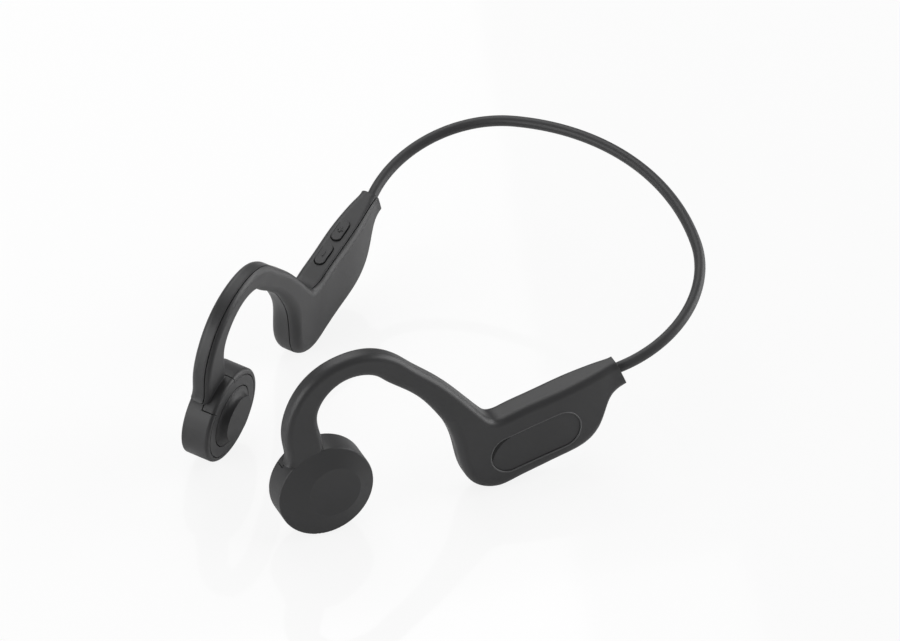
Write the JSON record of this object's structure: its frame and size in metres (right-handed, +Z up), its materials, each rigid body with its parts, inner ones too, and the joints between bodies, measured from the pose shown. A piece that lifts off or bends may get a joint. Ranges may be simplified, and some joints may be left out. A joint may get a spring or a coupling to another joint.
{
  "type": "bone conduction headphones",
  "caption": "Open-ear bone conduction headphones: ear hooks with round vibrating pads and electronics pods, joined behind the head by a thin sprung neckband.",
  "frame": {"origin": "on the surface it stands on, under the middle of the whole", "axes": "+X to the wearer's left, +Y to the back of the head, +Z up"},
  "size_m": [0.1144, 0.1554, 0.0567],
  "materials": {
    "shell_plastic": "soft-touch charcoal",
    "button_plastic": "soft-touch charcoal",
    "pad_silicone": "matte charcoal",
    "band_silicone": "satin charcoal",
    "flap_silicone": "matte charcoal",
    "spring_steel": "bright",
    "coil_copper": "enamelled copper",
    "yoke_steel": "plated",
    "magnet_nickel": "nickel plated",
    "carrier_plastic": "moulded",
    "board_green": "solder mask",
    "chip_black": "moulded",
    "connector_white": "moulded",
    "cell_foil": "pouch foil",
    "switch_case": "moulded",
    "plunger_white": "moulded",
    "socket_steel": "plated",
    "wire_insulation": "vinyl"
  },
  "bodies": {
    "neckband": {"neckband_jacket": "band_silicone", "neckband_spring": "spring_steel", "neckband_cable": "wire_insulation"},
    "left_unit": {"left_shell": "shell_plastic", "left_cover": "shell_plastic", "left_ferrule": "spring_steel", "left_spring_plate": "spring_steel", "left_yoke": "yoke_steel", "left_magnet": "magnet_nickel", "left_top_plate": "yoke_steel", "left_leads": "wire_insulation", "cell": "cell_foil", "key_board": "board_green", "function_switch": "switch_case"},
    "right_unit": {"right_shell": "shell_plastic", "right_cover": "shell_plastic", "right_ferrule": "spring_steel", "right_spring_plate": "spring_steel", "right_yoke": "yoke_steel", "right_magnet": "magnet_nickel", "right_top_plate": "yoke_steel", "right_leads": "wire_insulation", "right_plate": "button_plastic", "main_board": "board_green", "radio_chip": "chip_black", "lead_connector": "connector_white", "microphone": "socket_steel", "volume_switches": "switch_case", "charging_socket": "socket_steel"},
    "left_exciter": {"left_contact_pad": "pad_silicone", "left_pad_carrier": "carrier_plastic", "left_voice_coil": "coil_copper"},
    "right_exciter": {"right_contact_pad": "pad_silicone", "right_pad_carrier": "carrier_plastic", "right_voice_coil": "coil_copper"},
    "function_key": {"function_button": "button_plastic", "function_plunger": "plunger_white"},
    "volume_up_key": {"volume_up_button": "button_plastic", "volume_up_plunger": "plunger_white"},
    "volume_down_key": {"volume_down_button": "button_plastic", "volume_down_plunger": "plunger_white"},
    "charging_flap": {"charging_cover": "flap_silicone"}
  },
  "joints": [
    {"name": "left_flex", "type": "hinge", "parent": "neckband", "child": "left_unit", "pos_m": [0.03826, 0.0663, 0.04042], "axis": [0, -0.2924, 0.9563], "range_deg": [-4, 28], "stiffness_Nm_per_rad": 0.4, "deforming": ["neckband_jacket", "neckband_spring", "neckband_cable"]},
    {"name": "right_flex", "type": "hinge", "parent": "neckband", "child": "right_unit", "pos_m": [-0.03826, 0.0663, 0.04042], "axis": [0, 0.2924, -0.9563], "range_deg": [-4, 28], "stiffness_Nm_per_rad": 0.4, "deforming": ["neckband_jacket", "neckband_spring", "neckband_cable"]},
    {"name": "left_pad_vibration", "type": "slide", "parent": "left_unit", "child": "left_exciter", "axis": [-0.9405, 0.3294, -0.0837], "range_m": [-0.0001, 0.0001], "stiffness_N_per_m": 400, "deforming": ["left_spring_plate"]},
    {"name": "right_pad_vibration", "type": "slide", "parent": "right_unit", "child": "right_exciter", "axis": [0.9405, 0.3294, -0.0837], "range_m": [-0.0001, 0.0001], "stiffness_N_per_m": 400, "deforming": ["right_spring_plate"]},
    {"name": "function_press", "type": "slide", "parent": "left_unit", "child": "function_key", "axis": [-0.9405, 0.3294, -0.0837], "range_m": [0, 0.0003], "stiffness_N_per_m": 500},
    {"name": "volume_up_press", "type": "slide", "parent": "right_unit", "child": "volume_up_key", "axis": [-0.1429, 0.1599, -0.9767], "range_m": [0, 0.00035], "stiffness_N_per_m": 400},
    {"name": "volume_down_press", "type": "slide", "parent": "right_unit", "child": "volume_down_key", "axis": [-0.1429, 0.1599, -0.9767], "range_m": [0, 0.00035], "stiffness_N_per_m": 400},
    {"name": "charging_flap_hinge", "type": "hinge", "parent": "right_unit", "child": "charging_flap", "pos_m": [-0.0479, 0.00568, 0.00494], "axis": [0.9405, 0.3294, -0.0837], "range_deg": [0, 110]}
  ]
}
